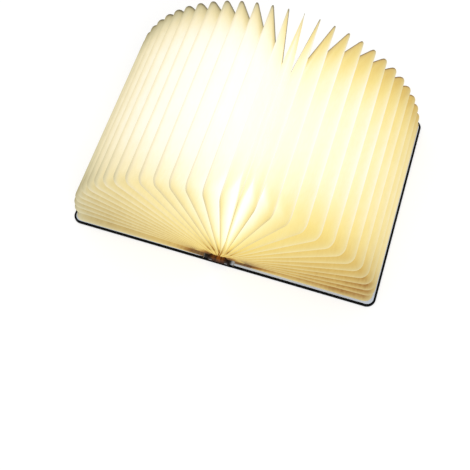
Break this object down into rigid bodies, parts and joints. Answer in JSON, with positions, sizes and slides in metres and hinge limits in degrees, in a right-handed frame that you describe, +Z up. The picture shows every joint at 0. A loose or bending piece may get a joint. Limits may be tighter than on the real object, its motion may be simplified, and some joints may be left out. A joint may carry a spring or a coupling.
{
  "type": "folding book lamp",
  "caption": "Book-shaped lamp lying open on its two covers, with a fan of lit paper leaves folding about a lit core along the spine",
  "frame": {"origin": "centre of the underside of the opened lamp, on the surface it lies on", "axes": "+X across the opened book towards the back cover, +Y along the spine towards the charging end, +Z up"},
  "size_m": [0.314, 0.216, 0.1433],
  "materials": {
    "spine_leather": "dark glossy imitation leather",
    "cover_leather": "dark slate imitation leather with embossed border",
    "grey_board": "plain binder's board",
    "core_brown": "dark brown, oiled",
    "screw_steel": "plain",
    "milky_plastic": "translucent milky",
    "light_board": "white coated board",
    "light_chip": "yellow phosphor",
    "battery_foil": "laminated foil",
    "control_board": "green circuit board",
    "lead_red": "insulated wire",
    "socket_steel": "plated",
    "lens_red": "clear coloured",
    "reed_glass": "sealed capsule",
    "leaf_paper": "washable fibre paper, lit from inside",
    "relief_resin": "painted relief with pearl sheen",
    "lining_paper": "pale blue grey endpaper",
    "magnet_nickel": "nickel plated"
  },
  "bodies": {
    "core": {"spine_skin": "spine_leather", "spine_board": "grey_board", "core_tray": "core_brown", "core_lid": "core_brown", "near_cap": "core_brown", "far_cap": "core_brown", "cap_screws": "screw_steel", "diffuser": "milky_plastic", "light_board": "light_board", "light_chips": "light_chip", "battery": "battery_foil", "control_board": "control_board", "board_screws": "screw_steel", "inner_leads": "lead_red", "charge_socket": "socket_steel", "charge_lens": "lens_red", "reed_switch": "reed_glass", "front_roots": "leaf_paper", "back_roots": "leaf_paper"},
    "front_cover": {"front_skin": "cover_leather", "front_board": "grey_board", "front_panel": "relief_resin", "front_lining": "lining_paper", "front_magnets": "magnet_nickel"},
    "back_cover": {"back_skin": "cover_leather", "back_board": "grey_board", "back_lining": "lining_paper", "back_magnets": "magnet_nickel", "switch_magnet": "magnet_nickel"},
    "leaf_01": {"leaf_01": "leaf_paper"},
    "leaf_02": {"leaf_02": "leaf_paper"},
    "leaf_03": {"leaf_03": "leaf_paper"},
    "leaf_04": {"leaf_04": "leaf_paper"},
    "leaf_05": {"leaf_05": "leaf_paper"},
    "leaf_06": {"leaf_06": "leaf_paper"},
    "leaf_07": {"leaf_07": "leaf_paper"},
    "leaf_08": {"leaf_08": "leaf_paper"},
    "leaf_09": {"leaf_09": "leaf_paper"},
    "leaf_10": {"leaf_10": "leaf_paper"},
    "leaf_11": {"leaf_11": "leaf_paper"},
    "leaf_12": {"leaf_12": "leaf_paper"},
    "leaf_13": {"leaf_13": "leaf_paper"},
    "leaf_14": {"leaf_14": "leaf_paper"},
    "leaf_15": {"leaf_15": "leaf_paper"},
    "leaf_16": {"leaf_16": "leaf_paper"},
    "leaf_17": {"leaf_17": "leaf_paper"},
    "leaf_18": {"leaf_18": "leaf_paper"},
    "leaf_19": {"leaf_19": "leaf_paper"},
    "leaf_20": {"leaf_20": "leaf_paper"},
    "leaf_21": {"leaf_21": "leaf_paper"},
    "leaf_22": {"leaf_22": "leaf_paper"},
    "leaf_23": {"leaf_23": "leaf_paper"},
    "leaf_24": {"leaf_24": "leaf_paper"},
    "leaf_25": {"leaf_25": "leaf_paper"},
    "leaf_26": {"leaf_26": "leaf_paper"},
    "leaf_27": {"leaf_27": "leaf_paper"},
    "leaf_28": {"leaf_28": "leaf_paper"},
    "leaf_29": {"leaf_29": "leaf_paper"},
    "leaf_30": {"leaf_30": "leaf_paper"}
  },
  "joints": [
    {"name": "front_cover_hinge", "type": "hinge", "parent": "core", "child": "front_cover", "pos_m": [-0.0132, 0, 0.0003], "axis": [0, 1, 0], "range_deg": [0, 90], "deforming": ["front_roots"]},
    {"name": "back_cover_hinge", "type": "hinge", "parent": "core", "child": "back_cover", "pos_m": [0.0132, 0, 0.0003], "axis": [0, -1, 0], "range_deg": [0, 90], "deforming": ["back_roots"]},
    {"name": "leaf_01_fold", "type": "hinge", "parent": "core", "child": "leaf_01", "pos_m": [0.0132, 0, 0.0003], "axis": [0, -1, 0], "range_deg": [0, 85.51]},
    {"name": "leaf_02_fold", "type": "hinge", "parent": "core", "child": "leaf_02", "pos_m": [0.01229, 0, 0.0003], "axis": [0, -1, 0], "range_deg": [0, 79.61]},
    {"name": "leaf_03_fold", "type": "hinge", "parent": "core", "child": "leaf_03", "pos_m": [0.01138, 0, 0.0003], "axis": [0, -1, 0], "range_deg": [0, 73.72]},
    {"name": "leaf_04_fold", "type": "hinge", "parent": "core", "child": "leaf_04", "pos_m": [0.01047, 0, 0.0003], "axis": [0, -1, 0], "range_deg": [0, 67.82]},
    {"name": "leaf_05_fold", "type": "hinge", "parent": "core", "child": "leaf_05", "pos_m": [0.00956, 0, 0.0003], "axis": [0, -1, 0], "range_deg": [0, 61.92]},
    {"name": "leaf_06_fold", "type": "hinge", "parent": "core", "child": "leaf_06", "pos_m": [0.00865, 0, 0.0003], "axis": [0, -1, 0], "range_deg": [0, 56.03]},
    {"name": "leaf_07_fold", "type": "hinge", "parent": "core", "child": "leaf_07", "pos_m": [0.00774, 0, 0.0003], "axis": [0, -1, 0], "range_deg": [0, 50.13]},
    {"name": "leaf_08_fold", "type": "hinge", "parent": "core", "child": "leaf_08", "pos_m": [0.00683, 0, 0.0003], "axis": [0, -1, 0], "range_deg": [0, 44.23]},
    {"name": "leaf_09_fold", "type": "hinge", "parent": "core", "child": "leaf_09", "pos_m": [0.00592, 0, 0.0003], "axis": [0, -1, 0], "range_deg": [0, 38.34]},
    {"name": "leaf_10_fold", "type": "hinge", "parent": "core", "child": "leaf_10", "pos_m": [0.00501, 0, 0.0003], "axis": [0, -1, 0], "range_deg": [0, 32.44]},
    {"name": "leaf_11_fold", "type": "hinge", "parent": "core", "child": "leaf_11", "pos_m": [0.0041, 0, 0.0003], "axis": [0, -1, 0], "range_deg": [0, 26.54]},
    {"name": "leaf_12_fold", "type": "hinge", "parent": "core", "child": "leaf_12", "pos_m": [0.00319, 0, 0.0003], "axis": [0, -1, 0], "range_deg": [0, 20.65]},
    {"name": "leaf_13_fold", "type": "hinge", "parent": "core", "child": "leaf_13", "pos_m": [0.00228, 0, 0.0003], "axis": [0, -1, 0], "range_deg": [0, 14.75]},
    {"name": "leaf_14_fold", "type": "hinge", "parent": "core", "child": "leaf_14", "pos_m": [0.00137, 0, 0.0003], "axis": [0, -1, 0], "range_deg": [0, 8.85]},
    {"name": "leaf_15_fold", "type": "hinge", "parent": "core", "child": "leaf_15", "pos_m": [0.00046, 0, 0.0003], "axis": [0, -1, 0], "range_deg": [0, 2.96]},
    {"name": "leaf_16_fold", "type": "hinge", "parent": "core", "child": "leaf_16", "pos_m": [-0.00046, 0, 0.0003], "axis": [0, 1, 0], "range_deg": [0, 2.96]},
    {"name": "leaf_17_fold", "type": "hinge", "parent": "core", "child": "leaf_17", "pos_m": [-0.00137, 0, 0.0003], "axis": [0, 1, 0], "range_deg": [0, 8.85]},
    {"name": "leaf_18_fold", "type": "hinge", "parent": "core", "child": "leaf_18", "pos_m": [-0.00228, 0, 0.0003], "axis": [0, 1, 0], "range_deg": [0, 14.75]},
    {"name": "leaf_19_fold", "type": "hinge", "parent": "core", "child": "leaf_19", "pos_m": [-0.00319, 0, 0.0003], "axis": [0, 1, 0], "range_deg": [0, 20.65]},
    {"name": "leaf_20_fold", "type": "hinge", "parent": "core", "child": "leaf_20", "pos_m": [-0.0041, 0, 0.0003], "axis": [0, 1, 0], "range_deg": [0, 26.54]},
    {"name": "leaf_21_fold", "type": "hinge", "parent": "core", "child": "leaf_21", "pos_m": [-0.00501, 0, 0.0003], "axis": [0, 1, 0], "range_deg": [0, 32.44]},
    {"name": "leaf_22_fold", "type": "hinge", "parent": "core", "child": "leaf_22", "pos_m": [-0.00592, 0, 0.0003], "axis": [0, 1, 0], "range_deg": [0, 38.34]},
    {"name": "leaf_23_fold", "type": "hinge", "parent": "core", "child": "leaf_23", "pos_m": [-0.00683, 0, 0.0003], "axis": [0, 1, 0], "range_deg": [0, 44.23]},
    {"name": "leaf_24_fold", "type": "hinge", "parent": "core", "child": "leaf_24", "pos_m": [-0.00774, 0, 0.0003], "axis": [0, 1, 0], "range_deg": [0, 50.13]},
    {"name": "leaf_25_fold", "type": "hinge", "parent": "core", "child": "leaf_25", "pos_m": [-0.00865, 0, 0.0003], "axis": [0, 1, 0], "range_deg": [0, 56.03]},
    {"name": "leaf_26_fold", "type": "hinge", "parent": "core", "child": "leaf_26", "pos_m": [-0.00956, 0, 0.0003], "axis": [0, 1, 0], "range_deg": [0, 61.92]},
    {"name": "leaf_27_fold", "type": "hinge", "parent": "core", "child": "leaf_27", "pos_m": [-0.01047, 0, 0.0003], "axis": [0, 1, 0], "range_deg": [0, 67.82]},
    {"name": "leaf_28_fold", "type": "hinge", "parent": "core", "child": "leaf_28", "pos_m": [-0.01138, 0, 0.0003], "axis": [0, 1, 0], "range_deg": [0, 73.72]},
    {"name": "leaf_29_fold", "type": "hinge", "parent": "core", "child": "leaf_29", "pos_m": [-0.01229, 0, 0.0003], "axis": [0, 1, 0], "range_deg": [0, 79.61]},
    {"name": "leaf_30_fold", "type": "hinge", "parent": "core", "child": "leaf_30", "pos_m": [-0.0132, 0, 0.0003], "axis": [0, 1, 0], "range_deg": [0, 85.51]}
  ],
  "couplings": [
    {"joint": "leaf_01_fold", "follows": "back_cover_hinge", "ratio": 0.95},
    {"joint": "leaf_02_fold", "follows": "back_cover_hinge", "ratio": 0.88448},
    {"joint": "leaf_03_fold", "follows": "back_cover_hinge", "ratio": 0.81897},
    {"joint": "leaf_04_fold", "follows": "back_cover_hinge", "ratio": 0.75345},
    {"joint": "leaf_05_fold", "follows": "back_cover_hinge", "ratio": 0.68793},
    {"joint": "leaf_06_fold", "follows": "back_cover_hinge", "ratio": 0.62241},
    {"joint": "leaf_07_fold", "follows": "back_cover_hinge", "ratio": 0.5569},
    {"joint": "leaf_08_fold", "follows": "back_cover_hinge", "ratio": 0.49138},
    {"joint": "leaf_09_fold", "follows": "back_cover_hinge", "ratio": 0.42586},
    {"joint": "leaf_10_fold", "follows": "back_cover_hinge", "ratio": 0.36034},
    {"joint": "leaf_11_fold", "follows": "back_cover_hinge", "ratio": 0.29483},
    {"joint": "leaf_12_fold", "follows": "back_cover_hinge", "ratio": 0.22931},
    {"joint": "leaf_13_fold", "follows": "back_cover_hinge", "ratio": 0.16379},
    {"joint": "leaf_14_fold", "follows": "back_cover_hinge", "ratio": 0.098276},
    {"joint": "leaf_15_fold", "follows": "back_cover_hinge", "ratio": 0.032759},
    {"joint": "leaf_16_fold", "follows": "front_cover_hinge", "ratio": 0.032759},
    {"joint": "leaf_17_fold", "follows": "front_cover_hinge", "ratio": 0.098276},
    {"joint": "leaf_18_fold", "follows": "front_cover_hinge", "ratio": 0.16379},
    {"joint": "leaf_19_fold", "follows": "front_cover_hinge", "ratio": 0.22931},
    {"joint": "leaf_20_fold", "follows": "front_cover_hinge", "ratio": 0.29483},
    {"joint": "leaf_21_fold", "follows": "front_cover_hinge", "ratio": 0.36034},
    {"joint": "leaf_22_fold", "follows": "front_cover_hinge", "ratio": 0.42586},
    {"joint": "leaf_23_fold", "follows": "front_cover_hinge", "ratio": 0.49138},
    {"joint": "leaf_24_fold", "follows": "front_cover_hinge", "ratio": 0.5569},
    {"joint": "leaf_25_fold", "follows": "front_cover_hinge", "ratio": 0.62241},
    {"joint": "leaf_26_fold", "follows": "front_cover_hinge", "ratio": 0.68793},
    {"joint": "leaf_27_fold", "follows": "front_cover_hinge", "ratio": 0.75345},
    {"joint": "leaf_28_fold", "follows": "front_cover_hinge", "ratio": 0.81897},
    {"joint": "leaf_29_fold", "follows": "front_cover_hinge", "ratio": 0.88448},
    {"joint": "leaf_30_fold", "follows": "front_cover_hinge", "ratio": 0.95}
  ]
}
